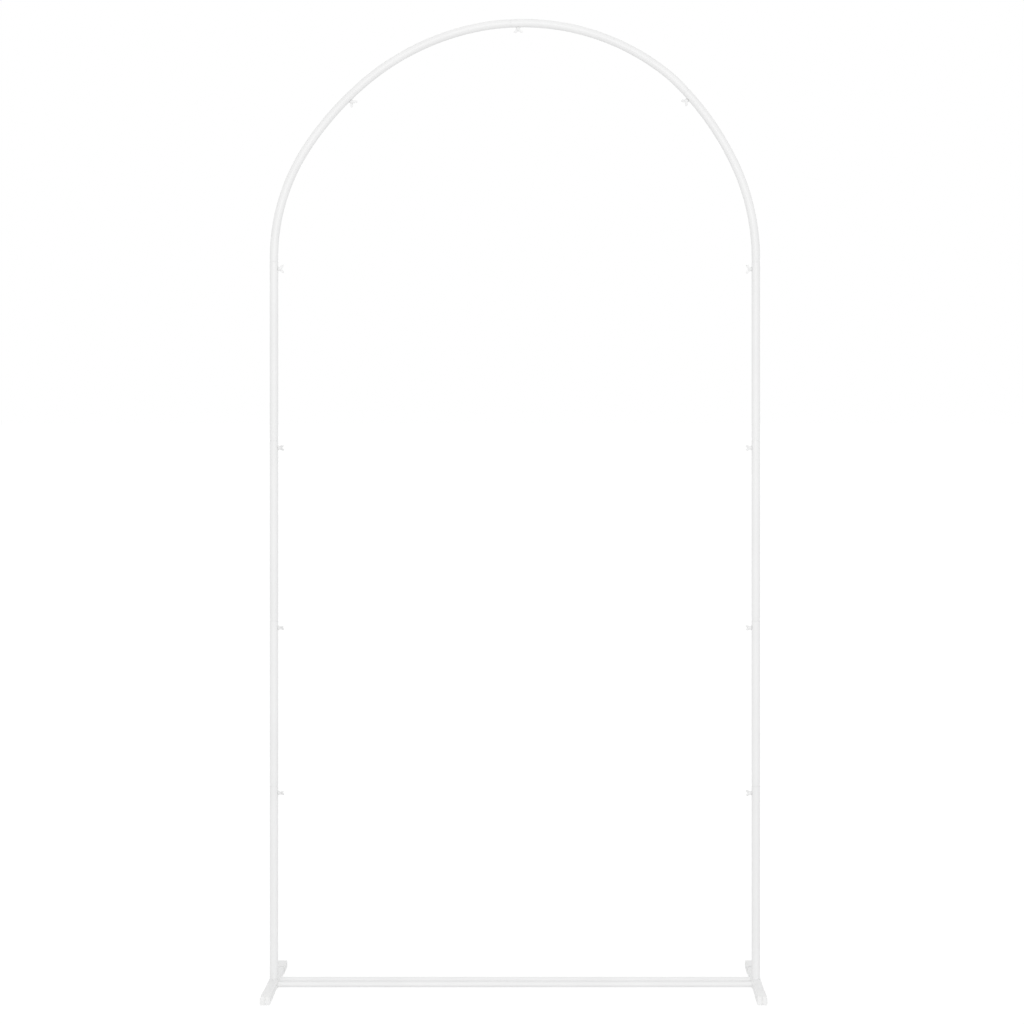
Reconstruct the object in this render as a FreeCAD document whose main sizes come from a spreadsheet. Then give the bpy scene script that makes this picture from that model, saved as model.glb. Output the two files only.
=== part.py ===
"""Free-standing wedding arch of thin white steel tube.

Four bent tubes make the rounded top and four straight tubes make each leg.
Each tube has one end drawn in to a spigot that plugs into the plain mouth of
the next tube, where a wing screw from the inside of the arch holds it.
Each leg plugs over a peg on a foot of flat tube that runs front to back,
and two thin bars join the feet along the floor.

Frame: millimetres, +X to the right, +Y to the back, +Z up. The origin is on
the floor, midway between the legs and midway along the feet.
"""
import FreeCAD, Part
import math
import os
import re
import Sketcher
from FreeCAD import Vector

os.makedirs("parts", exist_ok=True)
doc = FreeCAD.newDocument("wedding_arch")

# Driving sizes, in millimetres and degrees
DRIVING = [
    ("half_span", 518, "leg axis from the middle of the arch"),
    ("tube_diameter", 18, "outside of every leg and arch tube"),
    ("tube_wall", 0.8, "wall of every leg and arch tube"),
    ("joint_height_1", 430, "top rim of the lowest leg tubes"),
    ("joint_height_2", 785, "top rim of the second leg tubes"),
    ("joint_height_3", 1172, "top rim of the third leg tubes"),
    ("spring_height", 1556.3, "top rim of the right leg, where the arch starts"),
    ("bend_1_ease", -44, "first bend over the right leg, its radius from the half span"),
    ("bend_2_ease", 105, "same, second bend of that tube"),
    ("bend_3_ease", -181, "same, first bend of the tube right of the crown"),
    ("bend_4_ease", -23, "same, second bend of that tube"),
    ("bend_5_ease", -101, "same, first bend of the tube left of the crown"),
    ("bend_6_ease", 20, "same, second bend of that tube"),
    ("bend_7_ease", 124, "same, first bend of the tube over the left leg"),
    ("bend_1_angle", 25.7, "sweep of the bends, in the same order"),
    ("bend_2_angle", 16.9, "same, next bend"),
    ("bend_3_angle", 10.1, "same, next bend"),
    ("bend_4_angle", 40.4, "same, next bend"),
    ("bend_5_angle", 6.6, "same, next bend"),
    ("bend_6_angle", 33.4, "same, next bend"),
    ("bend_7_angle", 13.9, "same, next bend"),
    ("neck_length", 9, "taper from the full tube to the spigot"),
    ("neck_step", 0.3, "step of the neck that rests on the mouth's rim"),
    ("spigot_depth", 40, "length of a spigot inside the next tube"),
    ("spigot_lead", 0.4, "bevel on the end of a spigot and of a screw's shank"),
    ("spigot_gap", 0.1, "clearance all round a spigot in its mouth"),
    ("screw_setback", 15, "screw axis below the mouth's rim"),
    ("screw_diameter", 5, "shank of the wing screw"),
    ("screw_gap", 0.2, "clearance all round the shank in its holes"),
    ("screw_tip", 3, "shank that shows inside the spigot"),
    ("flange_diameter", 9.6, "round flange that bears on the tube"),
    ("flange_thickness", 1.5, "thickness of that flange"),
    ("hub_diameter", 8, "round hub between the wings, at its foot"),
    ("hub_taper", 1.2, "narrowing of the hub up to its top, all round"),
    ("hub_height", 7.6, "top of the hub above the tube"),
    ("wing_root", 3.4, "start of the wings above the tube"),
    ("wing_length", 9.4, "from the root to the middle of the wing's tip"),
    ("wing_splay_angle", 48, "lean of each wing from the screw's axis"),
    ("wing_root_width", 6.4, "width of a wing at the hub"),
    ("wing_tip_width", 5, "width of a wing at its rounded tip"),
    ("wing_thickness", 2.4, "thickness of the wings"),
    ("foot_depth", 340, "overall length of a foot, front to back"),
    ("foot_width", 20.4, "width of a foot's flat tube"),
    ("foot_height", 15, "height of that tube"),
    ("foot_wall", 1, "wall of that tube"),
    ("foot_corner", 2.5, "rounding of that tube's long edges"),
    ("peg_height", 45, "peg above the foot's tube, inside the leg"),
    ("cap_length", 60, "length of a foot's end cap"),
    ("cap_sole", 1, "thickness of an end cap under the foot's tube"),
    ("cap_roof", 0.9, "same, above the tube"),
    ("cap_wall", 0.6, "same, beside the tube"),
    ("cap_end", 3, "closed end of an end cap"),
    ("cap_corner", 3, "rounding of the cap's long edges"),
    ("cap_nose", 2.6, "rounding of the cap's closed end, over the top and the sides"),
    ("cap_gap", 0.05, "clearance all round a foot's tube in its cap"),
    ("cap_groove", 1.6, "depth of the groove down the cap's closed end"),
    ("bar_diameter", 12, "outside of the two floor bars"),
    ("bar_wall", 0.8, "wall of those bars"),
    ("bar_spacing", 43, "between the axes of the two bars"),
    ("turn_right_1_angle", 62, "turn of each wing screw about its own axis"),
    ("turn_right_2_angle", 66, "same, next joint up"),
    ("turn_right_3_angle", 58, "same, next joint up"),
    ("turn_right_4_angle", 4, "same, joint under the arch"),
    ("turn_arch_1_angle", 27, "same, right shoulder"),
    ("turn_arch_2_angle", 12, "same, crown"),
    ("turn_arch_3_angle", 5, "same, left shoulder"),
    ("turn_left_4_angle", 6, "same, joint under the arch"),
    ("turn_left_3_angle", 55, "same, next joint down"),
    ("turn_left_2_angle", 64, "same, next joint down"),
    ("turn_left_1_angle", 60, "same, lowest joint"),
]

# Sizes that follow from the driving ones
DERIVED = [
    ("tube_radius", "tube_diameter / 2"),
    ("bore_radius", "tube_radius - tube_wall"),
    ("spigot_radius", "bore_radius - spigot_gap"),
    ("spigot_bore", "spigot_radius - tube_wall"),
    ("step_radius", "spigot_radius + neck_step"),
    ("screw_hole_radius", "screw_diameter / 2 + screw_gap"),
    ("shank_length", "2 * tube_wall + spigot_gap + screw_tip"),
    ("foot_bottom", "cap_sole + cap_gap"),
    ("foot_top", "foot_bottom + foot_height"),
    ("bar_axis_height", "foot_bottom + foot_height / 2"),
    ("cap_bore", "foot_height + 2 * cap_gap"),
    ("cap_height", "cap_sole + cap_bore + cap_roof"),
    ("cap_width", "foot_width + 2 * (cap_gap + cap_wall)"),
    ("turn_1", "bend_1_angle"),
    ("bend_radius_1", "half_span + bend_1_ease"),
    ("centre_1_x", "half_span - bend_radius_1"),
    ("centre_1_z", "spring_height + neck_length"),
]

# The arch from right to left: two bends to a tube, and a straight neck between tubes
for bend in range(2, 8):
    last = bend - 1
    step = f"(bend_radius_{last} - bend_radius_{bend})"
    x = f"centre_{last}_x + {step} * cos(turn_{last})"
    z = f"centre_{last}_z + {step} * sin(turn_{last})"
    if bend % 2:
        x += f" - neck_length * sin(turn_{last})"
        z += f" + neck_length * cos(turn_{last})"
    DERIVED += [
        (f"turn_{bend}", f"turn_{last} + bend_{bend}_angle"),
        (f"bend_radius_{bend}", f"half_span + bend_{bend}_ease"),
        (f"centre_{bend}_x", x),
        (f"centre_{bend}_z", z),
    ]

# The last bend closes the arch onto the left leg
DERIVED += [
    ("bend_8_angle", "180 - turn_7"),
    ("bend_radius_8", "(centre_7_x + bend_radius_7 * cos(turn_7) + half_span) / (1 + cos(turn_7))"),
    ("centre_8_z", "centre_7_z + (bend_radius_7 - bend_radius_8) * sin(turn_7)"),
    ("left_spring_height", "centre_8_z - neck_length"),
    ("screw_angle_2", "screw_setback / bend_radius_2 * 180 / pi"),
    ("screw_angle_4", "screw_setback / bend_radius_4 * 180 / pi"),
    ("screw_angle_7", "screw_setback / bend_radius_7 * 180 / pi"),
]

sizes = doc.addObject("Spreadsheet::Sheet", "Sizes")
for row, (alias, size, note) in enumerate(DRIVING, start=1):
    sizes.set(f"A{row}", alias)
    sizes.set(f"B{row}", str(size))
    sizes.setAlias(f"B{row}", alias)
    sizes.set(f"C{row}", note)
for row, (alias, formula) in enumerate(DERIVED, start=len(DRIVING) + 2):
    sizes.set(f"A{row}", alias)
    sizes.set(f"B{row}", "=" + formula)
    sizes.setAlias(f"B{row}", alias)
doc.recompute()

NAMES = {row[0] for row in DRIVING + DERIVED}


def bound(formula):
    """Returns the formula with each size's name led by the sheet's name."""
    def lead(word):
        return "Sizes." + word.group() if word.group() in NAMES else word.group()

    return re.sub(r"[a-z_][a-z0-9_]*", lead, formula)


def value(formula):
    """Returns the present value of a formula over the sheet's sizes."""
    result = sizes.evalExpression(bound(formula))
    return float(getattr(result, "Value", result))


def turned(x, y, z, axis, angle):
    """Returns a placement formula: a point, then a turn about one axis."""
    return f"placement(vector({x}; {y}; {z}); rotation(vector({axis}); {angle}))"


def new_body(label, placement):
    """Makes the body of one sub-part, placed by a formula."""
    body = doc.addObject("PartDesign::Body", label)
    body.Label = label
    body.setExpression("Placement", bound(placement))
    return body


def new_sketch(body, name, role, offset=None):
    """Makes a sketch on one of the body's own origin planes."""
    sketch = body.newObject("Sketcher::SketchObject", name)
    plane = next(item for item in body.Origin.OriginFeatures if item.Role == role)
    sketch.AttachmentSupport = [(plane, "")]
    sketch.MapMode = "FlatFace"
    if offset:
        sketch.setExpression("AttachmentOffset", bound(offset))
    return sketch


def pin_point(sketch, shape, end, x, y):
    """Ties one point of the sketch to the origin by two formulas."""
    for kind, formula in (("DistanceX", x), ("DistanceY", y)):
        if formula == "0":
            line = -2 if kind == "DistanceX" else -1
            sketch.addConstraint(Sketcher.Constraint("PointOnObject", shape, end, line))
            continue
        rule = Sketcher.Constraint(kind, -1, 1, shape, end, value(formula))
        index = sketch.addConstraint(rule)
        sketch.setExpression(f"Constraints[{index}]", bound(formula))


def draw_circle(sketch, x, y, radius):
    """Draws a circle tied to formulas for its middle and radius."""
    centre = Vector(value(x), value(y), 0)
    shape = sketch.addGeometry(Part.Circle(centre, Vector(0, 0, 1), value(radius)))
    pin_point(sketch, shape, 3, x, y)
    index = sketch.addConstraint(Sketcher.Constraint("Radius", shape, value(radius)))
    sketch.setExpression(f"Constraints[{index}]", bound(radius))


def draw_ring(sketch, x, outer, inner):
    """Draws a tube's section on the sketch's horizontal axis."""
    draw_circle(sketch, x, "0", outer)
    draw_circle(sketch, x, "0", inner)


def draw_outline(sketch, points, arcs=None):
    """Draws a closed outline anticlockwise, each corner tied to formulas.

    A side is straight unless arcs gives the middle of its circle, and then
    whether the middle is tied across ("DistanceX") or up ("DistanceY").
    """
    arcs = arcs or {}
    corners = [Vector(value(x), value(y), 0) for x, y in points]
    sides = []
    for index, start in enumerate(corners):
        end = corners[(index + 1) % len(corners)]
        if index not in arcs:
            sides.append(sketch.addGeometry(Part.LineSegment(start, end)))
            continue
        middle = Vector(value(arcs[index][0]), value(arcs[index][1]), 0)
        circle = Part.Circle(middle, Vector(0, 0, 1), start.distanceToPoint(middle))
        angles = [math.atan2(spot.y - middle.y, spot.x - middle.x) for spot in (start, end)]
        sides.append(sketch.addGeometry(Part.ArcOfCircle(circle, angles[0], angles[1])))
    for index, side in enumerate(sides):
        after = sides[(index + 1) % len(sides)]
        sketch.addConstraint(Sketcher.Constraint("Coincident", side, 2, after, 1))
    for index, (x, y) in enumerate(points):
        pin_point(sketch, sides[index], 1, x, y)
    for index, (x, y, kind) in arcs.items():
        formula = x if kind == "DistanceX" else y
        rule = Sketcher.Constraint(kind, -1, 1, sides[index], 3, value(formula))
        number = sketch.addConstraint(rule)
        sketch.setExpression(f"Constraints[{number}]", bound(formula))


def draw_axis(sketch, x):
    """Draws an upright construction line for a revolution."""
    foot = Vector(value(x), 0, 0)
    head = Vector(value(x), value("tube_diameter"), 0)
    line = sketch.addGeometry(Part.LineSegment(foot, head), True)
    pin_point(sketch, line, 1, x, "0")
    pin_point(sketch, line, 2, x, "tube_diameter")


def revolve(body, name, sketch, axis, angle="360", backwards=False):
    """Revolves a sketch about one of its axes."""
    feature = body.newObject("PartDesign::Revolution", name)
    feature.Profile = sketch
    feature.ReferenceAxis = (sketch, [axis])
    feature.setExpression("Angle", bound(angle))
    feature.Reversed = backwards


def pad(body, name, sketch, length, both_ways=False, backwards=False):
    """Pads a sketch to a length given by a formula."""
    feature = body.newObject("PartDesign::Pad", name)
    feature.Profile = sketch
    feature.setExpression("Length", bound(length))
    feature.Midplane = both_ways
    feature.Reversed = backwards


def pocket(body, name, sketch, length, both_ways=False, backwards=False):
    """Cuts a sketch into the body to a length given by a formula."""
    feature = body.newObject("PartDesign::Pocket", name)
    feature.Profile = sketch
    feature.setExpression("Length", bound(length))
    feature.Midplane = both_ways
    feature.Reversed = backwards


def screw_hole(body, name, placement):
    """Drills from a tube's axis out through its wall on one side."""
    drill = body.newObject("PartDesign::SubtractiveCylinder", name)
    drill.setExpression("Radius", bound("screw_hole_radius"))
    drill.setExpression("Height", bound("tube_diameter"))
    drill.setExpression("Placement", bound(placement))


# Legs: straight tubes, local +Z up from the rim below, local -X inwards
def leg_tube(label, side, low, high, with_spigot):
    """One straight tube of a leg, from one rim to the next."""
    turn = "0" if side > 0 else "180"
    x = "half_span" if side > 0 else "-half_span"
    body = new_body(label, turned(x, "0", low, "0; 0; 1", turn))
    length = f"{high} - {low}"
    if with_spigot:
        points = [
            ("spigot_radius - spigot_lead", "-spigot_depth"),
            ("spigot_radius", "spigot_lead - spigot_depth"),
            ("spigot_radius", "0"),
            ("step_radius", "0"),
            ("tube_radius", "neck_length"),
            ("tube_radius", length),
            ("bore_radius", length),
            ("bore_radius", "neck_length"),
            ("spigot_bore", "0"),
            ("spigot_bore", "-spigot_depth"),
        ]
    else:
        points = [
            ("tube_radius", "0"),
            ("tube_radius", length),
            ("bore_radius", length),
            ("bore_radius", "0"),
        ]
    profile = new_sketch(body, "WallProfile", "XZ_Plane")
    draw_outline(profile, points)
    revolve(body, "Wall", profile, "V_Axis")
    mouth = turned("0", "0", f"{length} - screw_setback", "0; -1; 0", "90")
    screw_hole(body, "MouthHole", mouth)
    if with_spigot:
        screw_hole(body, "SpigotHole", turned("0", "0", "-screw_setback", "0; -1; 0", "90"))
    return body


# Arch: bent tubes, local origin on the axis at the tube's right end, +Z along it, -X inwards
UPRIGHT = turned("0", "0", "0", "1; 0; 0", "90")
INWARDS = turned("0", "0", "0", "0; -1; 0", "90")


def along(length):
    """The move along a straight stretch."""
    return turned("0", "0", length, "0; 0; 1", "0")


def round_bend(radius, angle):
    """The move along part of a bend, back along it if the angle is below zero."""
    x = f"{radius} * (cos({angle}) - 1)"
    z = f"{radius} * sin({angle})"
    return turned(x, "0", z, "0; -1; 0", angle)


def moves(*steps):
    """Several moves, one after the other."""
    return " * ".join(steps)


def bent_ring(body, name, start, radius, angle, outer, inner, backwards=False):
    """A tube's section swept round a bend, on from a place or back from it."""
    section = new_sketch(body, name + "Section", "XY_Plane", start)
    draw_ring(section, "0", outer, inner)
    draw_axis(section, f"-{radius}")
    revolve(body, name, section, "Axis0", angle, backwards=not backwards)


def arch_neck(body, name, start, backwards, with_spigot):
    """The taper at one end of a bent tube, with its spigot if that is straight."""
    sign = "-" if backwards else ""
    points = [
        ("tube_radius", "0"),
        ("step_radius", f"{sign}neck_length"),
        ("spigot_bore", f"{sign}neck_length"),
        ("bore_radius", "0"),
    ]
    if with_spigot:
        points[2:3] = [
            ("spigot_radius", f"{sign}neck_length"),
            ("spigot_radius", f"{sign}(neck_length + spigot_depth - spigot_lead)"),
            ("spigot_radius - spigot_lead", f"{sign}(neck_length + spigot_depth)"),
            ("spigot_bore", f"{sign}(neck_length + spigot_depth)"),
            ("spigot_bore", f"{sign}neck_length"),
        ]
    profile = new_sketch(body, name + "Profile", "XY_Plane", moves(start, UPRIGHT))
    draw_outline(profile, points)
    revolve(body, name, profile, "V_Axis")


def bent_spigot(body, name, start, radius, screw_angle, backwards=False):
    """A spigot with its screw hole, bent as the tube that it plugs into."""
    sign = "-" if backwards else ""
    rim = moves(start, along(f"{sign}neck_length"))
    angle = f"spigot_depth / {radius} * 180 / pi"
    bent_ring(body, name, rim, radius, angle, "spigot_radius", "spigot_bore", backwards)
    screw_hole(body, name + "Hole", moves(rim, round_bend(radius, sign + screw_angle), INWARDS))


def arch_tube(label, first, turn):
    """The two bends of one tube, and the place of the tube's far end."""
    radii = [f"bend_radius_{first}", f"bend_radius_{first + 1}"]
    angles = [f"bend_{first}_angle", f"bend_{first + 1}_angle"]
    x = f"centre_{first}_x + {radii[0]} * cos({turn})"
    z = f"centre_{first}_z + {radii[0]} * sin({turn})"
    body = new_body(label, turned(x, "0", z, "0; -1; 0", turn))
    start = along("0")
    for name, radius, angle in zip(("FirstBend", "SecondBend"), radii, angles):
        bent_ring(body, name, start, radius, angle, "tube_radius", "bore_radius")
        start = moves(start, round_bend(radius, angle))
    return body, start


arch_tube_right_lower, end = arch_tube("arch_tube_right_lower", 1, "0")
arch_neck(arch_tube_right_lower, "Neck", along("0"), True, True)
screw_hole(arch_tube_right_lower, "SpigotHole", moves(along("-neck_length - screw_setback"), INWARDS))
mouth = moves(end, round_bend("bend_radius_2", "-screw_angle_2"), INWARDS)
screw_hole(arch_tube_right_lower, "MouthHole", mouth)

arch_tube_right_upper, end = arch_tube("arch_tube_right_upper", 3, "turn_2")
arch_neck(arch_tube_right_upper, "Neck", along("0"), True, False)
bent_spigot(arch_tube_right_upper, "Spigot", along("0"), "bend_radius_2", "screw_angle_2", True)
mouth = moves(end, round_bend("bend_radius_4", "-screw_angle_4"), INWARDS)
screw_hole(arch_tube_right_upper, "MouthHole", mouth)

arch_tube_left_upper, end = arch_tube("arch_tube_left_upper", 5, "turn_4")
arch_neck(arch_tube_left_upper, "CrownNeck", along("0"), True, False)
bent_spigot(arch_tube_left_upper, "CrownSpigot", along("0"), "bend_radius_4", "screw_angle_4", True)
arch_neck(arch_tube_left_upper, "ShoulderNeck", end, False, False)
bent_spigot(arch_tube_left_upper, "ShoulderSpigot", end, "bend_radius_7", "screw_angle_7")

arch_tube_left_lower, end = arch_tube("arch_tube_left_lower", 7, "turn_6")
mouth = moves(round_bend("bend_radius_7", "screw_angle_7"), INWARDS)
screw_hole(arch_tube_left_lower, "MouthHole", mouth)
arch_neck(arch_tube_left_lower, "Neck", end, False, True)
spigot = moves(end, along("neck_length + screw_setback"), INWARDS)
screw_hole(arch_tube_left_lower, "SpigotHole", spigot)

tubes = [arch_tube_right_lower, arch_tube_right_upper, arch_tube_left_upper, arch_tube_left_lower]

RIMS = {
    "right": ["foot_top", "joint_height_1", "joint_height_2", "joint_height_3", "spring_height"],
    "left": ["foot_top", "joint_height_1", "joint_height_2", "joint_height_3", "left_spring_height"],
}
for side, rims in RIMS.items():
    sign = 1 if side == "right" else -1
    for step in range(4):
        label = f"{side}_leg_tube_{step + 1}"
        tubes.append(leg_tube(label, sign, rims[step], rims[step + 1], step > 0))


# Wing screws: local +Z along the screw's axis, away from the tube
def wing_screw(label, x, z, lean, turn):
    """A wing screw whose flange bears on a tube's inner side."""
    body = new_body(label, turned(x, "0", z, "0; -1; 0", lean))
    profile = new_sketch(body, "ShankProfile", "XZ_Plane")
    draw_outline(
        profile,
        [
            ("0", "-shank_length"),
            ("screw_diameter / 2 - spigot_lead", "-shank_length"),
            ("screw_diameter / 2", "spigot_lead - shank_length"),
            ("screw_diameter / 2", "0"),
            ("flange_diameter / 2", "0"),
            ("flange_diameter / 2", "flange_thickness"),
            ("hub_diameter / 2", "flange_thickness"),
            ("hub_diameter / 2 - hub_taper", "hub_height"),
            ("0", "hub_height"),
        ],
    )
    revolve(body, "Shank", profile, "V_Axis")
    for name, splay in (("WingA", "-wing_splay_angle"), ("WingB", "wing_splay_angle")):
        frame = (
            f"placement(vector(0; wing_root; 0); rotation(vector(0; 1; 0); {turn})"
            f" * rotation(vector(0; 0; 1); {splay}))"
        )
        outline = new_sketch(body, name + "Outline", "XZ_Plane", frame)
        draw_wing(outline)
        pad(body, name, outline, "wing_thickness", both_ways=True)
    return body


def draw_wing(sketch):
    """A wing's outline: rounded at the tip and a little wider at the root."""
    points = [
        ("-wing_root_width / 2", "0"),
        ("wing_root_width / 2", "0"),
        ("wing_tip_width / 2", "wing_length"),
        ("-wing_tip_width / 2", "wing_length"),
    ]
    draw_outline(sketch, points, {2: ("0", "wing_length", "DistanceY")})


screws = []
for side, rims in RIMS.items():
    x = "half_span - tube_radius" if side == "right" else "tube_radius - half_span"
    lean = "90" if side == "right" else "270"
    for step in range(4):
        label = f"{side}_wing_screw_{step + 1}"
        height = f"{rims[step + 1]} - screw_setback"
        screws.append(wing_screw(label, x, height, lean, f"turn_{side}_{step + 1}_angle"))

ARCH_SCREWS = [
    ("arch_wing_screw_1", "centre_2_x", "centre_2_z", "bend_radius_2", "(turn_2 - screw_angle_2)"),
    ("arch_wing_screw_2", "centre_4_x", "centre_4_z", "bend_radius_4", "(turn_4 - screw_angle_4)"),
    ("arch_wing_screw_3", "centre_7_x", "centre_7_z", "bend_radius_7", "(turn_6 + screw_angle_7)"),
]
for label, middle_x, middle_z, radius, angle in ARCH_SCREWS:
    reach = f"sqrt(({radius} - tube_radius) ^ 2 - (flange_diameter / 2) ^ 2)"
    x = f"{middle_x} + {reach} * cos({angle})"
    z = f"{middle_z} + {reach} * sin({angle})"
    turn = f"turn_arch_{label[-1]}_angle"
    screws.append(wing_screw(label, x, z, f"90 + {angle}", turn))


# Feet: a flat tube, a peg for the leg and a cap at each end
def draw_flat(sketch, width, low, high, corner):
    """A flat tube's outline: a box with four rounded corners."""
    left, right = f"-{width} / 2", f"{width} / 2"
    near_left, near_right = f"{left} + {corner}", f"{right} - {corner}"
    above, below = f"{low} + {corner}", f"{high} - {corner}"
    points = [
        (near_left, low),
        (near_right, low),
        (right, above),
        (right, below),
        (near_right, high),
        (near_left, high),
        (left, below),
        (left, above),
    ]
    arcs = {
        1: (near_right, above, "DistanceX"),
        3: (near_right, below, "DistanceX"),
        5: (near_left, below, "DistanceX"),
        7: (near_left, above, "DistanceX"),
    }
    draw_outline(sketch, points, arcs)


def foot_tube(label, x):
    """The flat tube of a foot, closed in by the caps at both ends."""
    body = new_body(label, turned(x, "0", "foot_bottom", "0; 0; 1", "0"))
    section = new_sketch(body, "TubeSection", "XZ_Plane")
    draw_flat(section, "foot_width", "0", "foot_height", "foot_corner")
    inner = "(foot_width - 2 * foot_wall)"
    draw_flat(section, inner, "foot_wall", "foot_height - foot_wall", "(foot_corner - foot_wall)")
    pad(body, "Tube", section, "foot_depth - 2 * cap_end", both_ways=True)
    return body


def foot_peg(label, x):
    """A short round tube standing on the foot's tube, inside the leg."""
    body = new_body(label, turned(x, "0", "foot_top", "0; 0; 1", "0"))
    section = new_sketch(body, "PegSection", "XY_Plane")
    draw_ring(section, "0", "spigot_radius", "spigot_bore")
    pad(body, "Peg", section, "peg_height")
    return body


def draw_corner(sketch, x, y, across, up):
    """The waste outside a rounded corner: the corner point and an arc."""
    far_x = f"{x} + ({across})"
    far_y = f"{y} + ({up})"
    points = [(x, y), (far_x, y), (x, far_y)]
    if (value(across) > 0) == (value(up) > 0):
        points = [(x, y), (x, far_y), (far_x, y)]
    draw_outline(sketch, points, {1: (far_x, far_y, "DistanceX")})


def foot_cap(label, x, y, turn):
    """A moulded cap with a grooved nose, pushed over the end of a foot's tube."""
    body = new_body(label, turned(x, y, "0", "0; 0; 1", turn))
    outline = new_sketch(body, "ShellOutline", "XZ_Plane")
    draw_flat(outline, "cap_width", "0", "cap_height", "cap_corner")
    pad(body, "Shell", outline, "cap_length", backwards=True)
    mouth = turned("0", "cap_sole", "-cap_length", "0; 0; 1", "0")
    bore = new_sketch(body, "BoreOutline", "XZ_Plane", mouth)
    draw_flat(bore, "(foot_width + 2 * cap_gap)", "0", "cap_bore", "foot_corner")
    pocket(body, "Bore", bore, "cap_length - cap_end", backwards=True)
    groove = new_sketch(body, "GrooveSection", "XY_Plane")
    draw_outline(groove, [("-cap_groove", "0"), ("cap_groove", "0"), ("0", "cap_groove")])
    pocket(body, "Groove", groove, "2 * cap_height", both_ways=True)
    brow = new_sketch(body, "BrowSection", "YZ_Plane")
    draw_corner(brow, "0", "cap_height", "cap_nose", "-cap_nose")
    pocket(body, "Brow", brow, "2 * cap_width", both_ways=True)
    for name, edge, inwards in (
        ("RightCheek", "cap_width / 2", "-cap_nose"),
        ("LeftCheek", "-cap_width / 2", "cap_nose"),
    ):
        cheek = new_sketch(body, name + "Section", "XY_Plane")
        draw_corner(cheek, edge, "0", inwards, "cap_nose")
        pocket(body, name, cheek, "2 * cap_height", both_ways=True)
    return body


feet = []
for side, axis in (("right", "half_span"), ("left", "-half_span")):
    feet.append(foot_tube(f"{side}_foot_tube", axis))
    feet.append(foot_peg(f"{side}_foot_peg", axis))
    feet.append(foot_cap(f"{side}_front_foot_cap", axis, "-foot_depth / 2", "0"))
    feet.append(foot_cap(f"{side}_back_foot_cap", axis, "foot_depth / 2", "180"))


# Floor bars: two thin tubes whose ends meet the inner sides of the feet
def floor_bar(label, y):
    """One round bar from foot to foot."""
    body = new_body(label, turned("0", y, "bar_axis_height", "0; 0; 1", "0"))
    section = new_sketch(body, "BarSection", "YZ_Plane")
    draw_ring(section, "0", "bar_diameter / 2", "bar_diameter / 2 - bar_wall")
    pad(body, "Bar", section, "2 * half_span - foot_width", both_ways=True)
    return body


bars = [floor_bar("front_floor_bar", "-bar_spacing / 2"), floor_bar("back_floor_bar", "bar_spacing / 2")]

doc.recompute()

for item in doc.Objects:
    if "Invalid" in item.State or "Error" in item.State:
        raise RuntimeError(f"{item.Label} failed: {item.State}")

for body in tubes + screws + feet + bars:
    shape = body.Shape
    if shape.isNull() or not shape.isValid() or len(shape.Solids) != 1:
        raise RuntimeError(f"{body.Label} is not one valid solid")
    shape.exportStep(f"parts/{body.Label}.step")
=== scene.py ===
import math

import bpy
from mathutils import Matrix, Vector


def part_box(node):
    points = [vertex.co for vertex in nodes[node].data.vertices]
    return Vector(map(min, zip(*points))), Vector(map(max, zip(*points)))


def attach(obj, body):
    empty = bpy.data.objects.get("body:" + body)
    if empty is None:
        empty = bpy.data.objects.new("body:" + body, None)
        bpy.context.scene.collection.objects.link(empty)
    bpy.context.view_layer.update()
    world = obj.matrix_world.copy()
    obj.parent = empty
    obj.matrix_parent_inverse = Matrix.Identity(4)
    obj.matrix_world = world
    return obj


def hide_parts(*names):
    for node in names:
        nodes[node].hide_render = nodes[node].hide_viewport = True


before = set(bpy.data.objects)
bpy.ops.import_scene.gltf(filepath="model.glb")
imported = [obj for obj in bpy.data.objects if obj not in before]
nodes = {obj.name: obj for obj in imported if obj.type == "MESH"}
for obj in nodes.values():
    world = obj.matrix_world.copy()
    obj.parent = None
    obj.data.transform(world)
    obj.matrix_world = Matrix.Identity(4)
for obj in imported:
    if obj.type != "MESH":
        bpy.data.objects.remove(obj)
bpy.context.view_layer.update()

scene = bpy.context.scene


# Camera, at the photograph's viewing angle
camera_data = bpy.data.cameras.new("camera")
camera = bpy.data.objects.new("camera", camera_data)
scene.collection.objects.link(camera)
camera.location = (0.086, -5.4, 1.28)
camera.rotation_euler = (math.radians(90), 0, 0)
camera_data.sensor_width = 36
camera_data.lens = 88.29
camera_data.shift_x = -0.0419
camera_data.shift_y = -0.1185
camera_data.clip_end = 400
scene.camera = camera


# Paint and plastic: greys shared by the materials
# The first grey below is painted shade, laid into inner corners and grooves.
CORNER_SHADE_GREY = (0.50, 0.49, 0.47, 1)
THIN_COAT_GREY = (0.60, 0.60, 0.59, 1)
SCUFF_GREY = (0.70, 0.70, 0.69, 1)


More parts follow.
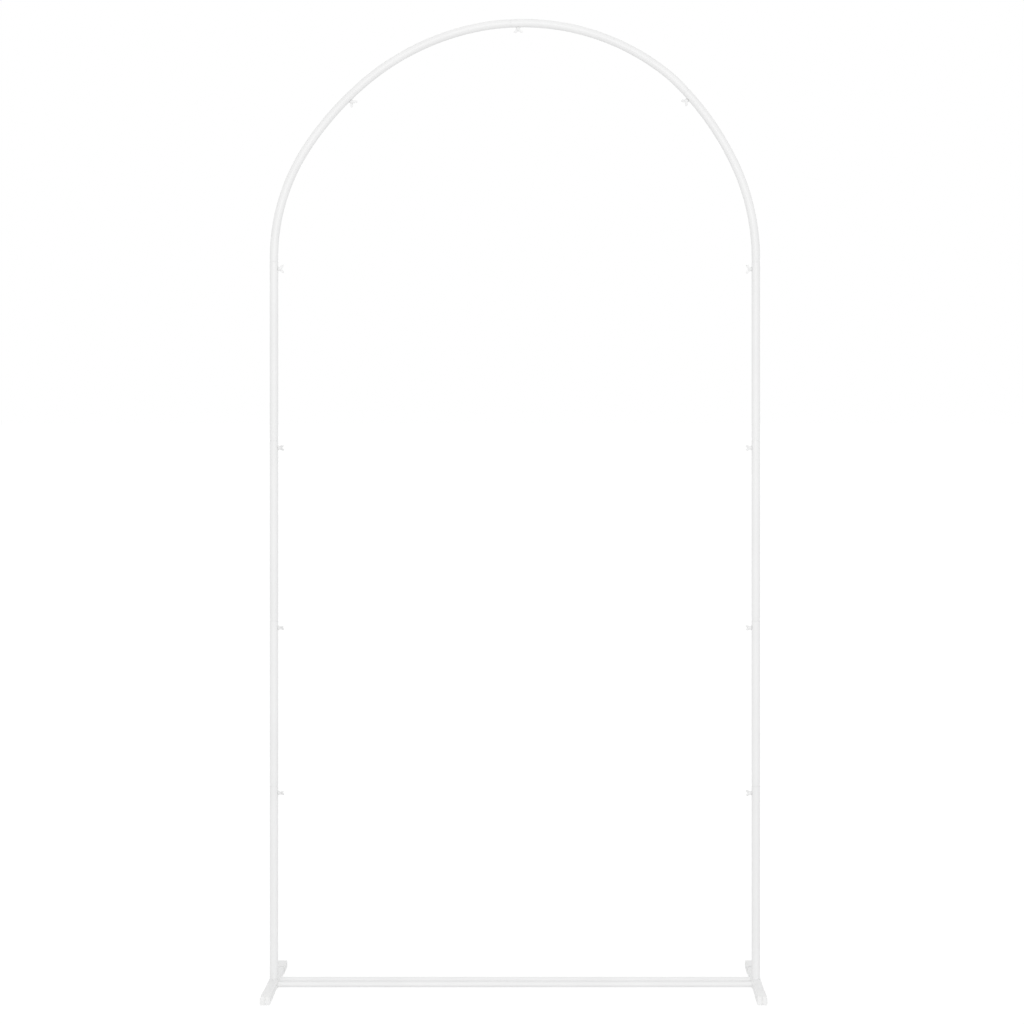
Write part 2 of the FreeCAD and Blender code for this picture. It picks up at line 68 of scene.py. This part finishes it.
class Tree:
    """Short calls for building one material's nodes."""

    def __init__(self, name):
        self.material = bpy.data.materials.new(name)
        self.material.use_nodes = True
        self.nodes = self.material.node_tree.nodes
        self.links = self.material.node_tree.links
        self.shader = next(n for n in self.nodes if n.type == "BSDF_PRINCIPLED")
        self.place = self.add("ShaderNodeTexCoord").outputs["Object"]

    def add(self, kind, **settings):
        node = self.nodes.new(kind)
        for name, value in settings.items():
            setattr(node, name, value)
        return node

    def feed(self, socket, value):
        if isinstance(value, bpy.types.NodeSocket):
            self.links.new(value, socket)
        else:
            socket.default_value = value

    def noise(self, scale, detail=2.0, rough=0.5, place=None):
        node = self.add("ShaderNodeTexNoise")
        self.feed(node.inputs["Vector"], place or self.place)
        node.inputs["Scale"].default_value = scale
        node.inputs["Detail"].default_value = detail
        node.inputs["Roughness"].default_value = rough
        return node.outputs["Fac"]

    def stretched(self, x, y, z):
        node = self.add("ShaderNodeMapping")
        self.feed(node.inputs["Vector"], self.place)
        node.inputs["Scale"].default_value = (x, y, z)
        return node.outputs["Vector"]

    def ramp(self, value, low, high, out_low=0.0, out_high=1.0, smooth=True):
        node = self.add("ShaderNodeMapRange", clamp=True)
        if smooth:
            node.interpolation_type = "SMOOTHSTEP"
        self.feed(node.inputs["Value"], value)
        node.inputs["From Min"].default_value = low
        node.inputs["From Max"].default_value = high
        node.inputs["To Min"].default_value = out_low
        node.inputs["To Max"].default_value = out_high
        return node.outputs["Result"]

    def math(self, operation, a, b=0.0):
        node = self.add("ShaderNodeMath", operation=operation)
        self.feed(node.inputs[0], a)
        self.feed(node.inputs[1], b)
        return node.outputs[0]

    def mix(self, amount, a, b):
        node = self.add("ShaderNodeMix", data_type="RGBA")
        self.feed(node.inputs[0], amount)
        self.feed(node.inputs[6], a)
        self.feed(node.inputs[7], b)
        return node.outputs[2]

    def bump(self, height, distance, strength=1.0, after=None):
        node = self.add("ShaderNodeBump")
        node.inputs["Strength"].default_value = strength
        node.inputs["Distance"].default_value = distance
        self.feed(node.inputs["Height"], height)
        if after:
            self.feed(node.inputs["Normal"], after)
        return node.outputs["Normal"]


def edges_and_corners(tree, width, depth):
    """Masks of worn outer edges and of shaded inner corners found by ambient occlusion, and the
    softened normal.
    """
    soft = tree.add("ShaderNodeBevel", samples=6)
    soft.inputs["Radius"].default_value = width
    sharp = tree.add("ShaderNodeNewGeometry")
    likeness = tree.add("ShaderNodeVectorMath", operation="DOT_PRODUCT")
    tree.feed(likeness.inputs[0], soft.outputs["Normal"])
    tree.feed(likeness.inputs[1], sharp.outputs["Normal"])
    edge = tree.ramp(likeness.outputs["Value"], 0.70, 0.97, 1.0, 0.0)
    shut = tree.add("ShaderNodeAmbientOcclusion", samples=6)
    shut.inputs["Distance"].default_value = depth
    corner = tree.ramp(shut.outputs["AO"], 0.10, 0.62, 1.0, 0.0)
    return edge, corner, soft.outputs["Normal"]


def powder_coat(name, pale, shade, peel, gloss, soft_edge):
    """White powder coat: orange peel, faint clouding, thin coat on edges, painted shade in
    corners.

    The peel is the scale of its noise, and the gloss is its lowest roughness.
    """
    tree = Tree(name)
    edge, corner, soft = edges_and_corners(tree, soft_edge, 0.003)
    cloud = tree.noise(9.0, 4.0)
    fine = tree.noise(120.0, 3.0)
    drawn = tree.noise(60.0, 3.0, 0.6, tree.stretched(1.0, 1.0, 0.05))
    specks = tree.ramp(tree.noise(900.0, 2.0), 0.74, 0.80)
    colour = tree.mix(tree.ramp(cloud, 0.35, 0.68), pale, shade)
    colour = tree.mix(tree.math("MULTIPLY", specks, 0.25), colour, THIN_COAT_GREY)
    # Painted shade: inner corners darken where ambient occlusion finds them, in patches set by
    # noise.
    corner_shade = tree.math("MULTIPLY", corner, tree.ramp(fine, 0.30, 0.65, 0.04, 0.16))
    colour = tree.mix(corner_shade, colour, CORNER_SHADE_GREY)
    rub = tree.math("MULTIPLY", edge, tree.ramp(fine, 0.38, 0.60, 0.10, 0.55))
    colour = tree.mix(rub, colour, THIN_COAT_GREY)
    tree.feed(tree.shader.inputs["Base Color"], colour)
    patches = tree.ramp(fine, 0.3, 0.7, gloss, gloss + 0.08)
    streaks = tree.ramp(drawn, 0.35, 0.65, 0.0, 0.05)
    dull = tree.math("MULTIPLY", corner, 0.15)
    rough = tree.math("ADD", tree.math("ADD", patches, streaks), dull)
    tree.feed(tree.shader.inputs["Roughness"], rough)
    coarse = tree.bump(tree.noise(peel, 1.0), 0.00025, 0.8, soft)
    ripple = tree.bump(tree.noise(peel * 3.1, 2.0), 0.00003, 0.6, coarse)
    tree.feed(tree.shader.inputs["Normal"], ripple)
    tree.shader.inputs["Specular IOR Level"].default_value = 0.45
    return tree.material


def moulded_plastic(name, pale, shade):
    """White moulded polymer: fine spark texture, scuffed edges, painted shade in its groove."""
    tree = Tree(name)
    edge, corner, soft = edges_and_corners(tree, 0.0008, 0.004)
    cloud = tree.noise(60.0, 3.0)
    grain = tree.noise(1500.0, 3.0, 0.7)
    scuffs = tree.ramp(tree.noise(140.0, 5.0, 0.65, tree.stretched(3.0, 0.6, 1.0)), 0.60, 0.72)
    colour = tree.mix(tree.ramp(cloud, 0.3, 0.7), pale, shade)
    # Painted shade: the groove and inner corners darken where ambient occlusion finds them.
    colour = tree.mix(tree.math("MULTIPLY", corner, 0.14), colour, CORNER_SHADE_GREY)
    worn = tree.math("MULTIPLY", tree.math("MAXIMUM", scuffs, edge), 0.16)
    tree.feed(tree.shader.inputs["Base Color"], tree.mix(worn, colour, SCUFF_GREY))
    sparkle = tree.ramp(grain, 0.3, 0.7, 0.46, 0.58)
    rough = tree.math("ADD", sparkle, tree.math("MULTIPLY", scuffs, 0.12))
    tree.feed(tree.shader.inputs["Roughness"], rough)
    tree.feed(tree.shader.inputs["Normal"], tree.bump(grain, 0.00015, 0.7, soft))
    tree.shader.inputs["Specular IOR Level"].default_value = 0.4
    return tree.material


def grey(level, blue_drop=0.0):
    """A neutral colour, or one that is a touch warm."""
    return (level, level, level - blue_drop, 1)


tube_paint = powder_coat("tube_paint", grey(0.892), grey(0.872), 760.0, 0.34, 0.0006)
screw_paint = powder_coat("screw_paint", grey(0.905), grey(0.885), 1000.0, 0.36, 0.0006)
cap_plastic = moulded_plastic("cap_plastic", grey(0.915, 0.002), grey(0.897, 0.002))


def finish_of(name):
    """The material of a node, by the kind of piece that its name gives."""
    if "screw" in name:
        return screw_paint
    if "cap" in name:
        return cap_plastic
    return tube_paint


for name, node in nodes.items():
    node.data.materials.clear()
    node.data.materials.append(finish_of(name))


# Pieces that the scene adds
def shaped(name, mesh, material, node_name=None):
    """Links a finished mesh as a piece of the object, in place of a node if one is named."""
    piece = bpy.data.objects.new(name, mesh)
    scene.collection.objects.link(piece)
    mesh.materials.clear()
    mesh.materials.append(material)
    mesh.polygons.foreach_set("use_smooth", [True] * len(mesh.polygons))
    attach(piece, "root")
    if node_name:
        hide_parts(node_name)


def melted(node, voxel, rounds):
    """A copy of a solid's mesh with its edges rounded, kept inside the solid's box."""
    draft = bpy.data.objects.new("draft", node.data.copy())
    scene.collection.objects.link(draft)
    remesh = draft.modifiers.new("remesh", "REMESH")
    remesh.mode = "VOXEL"
    remesh.voxel_size = voxel
    smooth = draft.modifiers.new("smooth", "SMOOTH")
    smooth.factor = 0.5
    smooth.iterations = rounds
    graph = bpy.context.evaluated_depsgraph_get()
    mesh = bpy.data.meshes.new_from_object(draft.evaluated_get(graph))
    bpy.data.objects.remove(draft)
    low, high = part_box(node.name)
    for vertex in mesh.vertices:
        for axis in range(3):
            vertex.co[axis] = min(max(vertex.co[axis], low[axis]), high[axis])
    return mesh


# Cast wing screws: each solid's edges and inner corners melt into soft fillets
CAST_VOXEL = 0.0003
CAST_ROUNDS = 9

for name, node in nodes.items():
    if "screw" in name:
        cast = melted(node, CAST_VOXEL, CAST_ROUNDS)
        shaped(name + "_cast", cast, screw_paint, name)


# Weld beads where the floor bars meet the feet
BAR_RADIUS = 0.006
BEAD_RADIUS = 0.0011
BEAD_CLEARANCE = 0.0002
RIPPLES = 26
STEPS_AROUND = 8 * RIPPLES
STEPS_ACROSS = 12


def weld_bead(name, centre, side):
    """A ring of overlapping weld ripples in the corner between a bar and a foot.

    The side is 1 at the right end of the bars and -1 at the left end.
    """
    ripple_span = 2 * math.pi / RIPPLES
    ring = BAR_RADIUS + BEAD_CLEARANCE
    points = []
    for i in range(STEPS_AROUND):
        turn = 2 * math.pi * i / STEPS_AROUND
        into = (turn % ripple_span) / ripple_span
        sway = math.sin(3 * turn + side) + 0.6 * math.sin(7 * turn + 2 * centre.y / BAR_RADIUS)
        swell = 1.0 + 0.13 * math.sin(math.pi * into) ** 0.5 + 0.05 * sway
        for j in range(STEPS_ACROSS):
            lean = 2 * math.pi * j / STEPS_ACROSS
            out = ring + BEAD_RADIUS * swell * math.cos(lean)
            inwards = side * BEAD_RADIUS * swell * math.sin(lean)
            y = centre.y + out * math.cos(turn)
            z = centre.z + out * math.sin(turn)
            points.append((centre.x - inwards, y, z))
    faces = []
    for i in range(STEPS_AROUND):
        here = i * STEPS_ACROSS
        ahead = (i + 1) % STEPS_AROUND * STEPS_ACROSS
        for j in range(STEPS_ACROSS):
            k = (j + 1) % STEPS_ACROSS
            face = (here + j, here + k, ahead + k, ahead + j)
            faces.append(face if side > 0 else face[::-1])
    mesh = bpy.data.meshes.new(name)
    mesh.from_pydata(points, [], faces)
    shaped(name, mesh, tube_paint)


for end in ("front", "back"):
    low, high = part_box(end + "_floor_bar")
    middle = (low + high) / 2
    for word, side, x in (("right", 1, high.x), ("left", -1, low.x)):
        weld_bead(f"{word}_{end}_bar_weld", Vector((x, middle.y, middle.z)), side)


# Floor and world: white where the camera or a reflection sees them
def seen_mix(tree, unseen, seen):
    """One shader for light, another for camera, mirror and glass rays."""
    path = tree.nodes.new("ShaderNodeLightPath")
    seen_by = path.outputs["Is Camera Ray"]
    for other in ("Is Glossy Ray", "Is Transmission Ray"):
        either = tree.nodes.new("ShaderNodeMath")
        either.operation = "MAXIMUM"
        tree.links.new(seen_by, either.inputs[0])
        tree.links.new(path.outputs[other], either.inputs[1])
        seen_by = either.outputs[0]
    choice = tree.nodes.new("ShaderNodeMixShader")
    tree.links.new(seen_by, choice.inputs[0])
    tree.links.new(unseen, choice.inputs[1])
    tree.links.new(seen, choice.inputs[2])
    return choice.outputs[0]


def lit_paper(tree, glow, tone):
    """A white floor: part of its light is its own, and part is reflected, so shadows stay soft."""
    own = tree.nodes.new("ShaderNodeEmission")
    own.inputs["Color"].default_value = (1, 1, 1, 1)
    own.inputs["Strength"].default_value = glow
    bounced = tree.nodes.new("ShaderNodeBsdfDiffuse")
    bounced.inputs["Color"].default_value = (tone, tone, tone, 1)
    both = tree.nodes.new("ShaderNodeAddShader")
    tree.links.new(own.outputs[0], both.inputs[0])
    tree.links.new(bounced.outputs[0], both.inputs[1])
    return both.outputs[0]


paper = bpy.data.materials.new("paper_floor")
paper.use_nodes = True
paper_tree = paper.node_tree
paper_tree.nodes.clear()
out = paper_tree.nodes.new("ShaderNodeOutputMaterial")
unseen = lit_paper(paper_tree, 0.55, 0.25)
seen = lit_paper(paper_tree, 0.80, 0.28)
paper_tree.links.new(seen_mix(paper_tree, unseen, seen), out.inputs["Surface"])

FLOOR_REACH = 90
FLOOR_DROP = 0.0004
floor_mesh = bpy.data.meshes.new("floor")
corners = [(x * FLOOR_REACH, y * FLOOR_REACH, 0) for x, y in ((-1, -1), (1, -1), (1, 1), (-1, 1))]
floor_mesh.from_pydata(corners, [], [(0, 1, 2, 3)])
floor_mesh.materials.append(paper)
floor = bpy.data.objects.new("floor", floor_mesh)
floor.location = (0, 0, -FLOOR_DROP)
scene.collection.objects.link(floor)

world = bpy.data.worlds.new("studio")
scene.world = world
world.use_nodes = True
world_tree = world.node_tree
world_tree.nodes.clear()
out = world_tree.nodes.new("ShaderNodeOutputWorld")
backgrounds = []
for strength in (0.80, 1.0):
    background = world_tree.nodes.new("ShaderNodeBackground")
    background.inputs["Color"].default_value = (1, 1, 1, 1)
    background.inputs["Strength"].default_value = strength
    backgrounds.append(background.outputs[0])
world_tree.links.new(seen_mix(world_tree, *backgrounds), out.inputs["Surface"])


def area_light(name, place, target, size, power):
    """A square softbox that points at a spot."""
    data = bpy.data.lights.new(name, "AREA")
    data.size = size
    data.energy = power
    lamp = bpy.data.objects.new(name, data)
    scene.collection.objects.link(lamp)
    lamp.location = place
    lamp.rotation_euler = (Vector(target) - Vector(place)).to_track_quat("-Z", "Y").to_euler()


area_light("front_softbox", (0.1, -6.0, 2.8), (0, 0, 0.9), 3.0, 87)
area_light("top_softbox", (0.2, -0.3, 8.0), (0, 0, 1.0), 4.0, 6)

scene.view_settings.view_transform = "Standard"
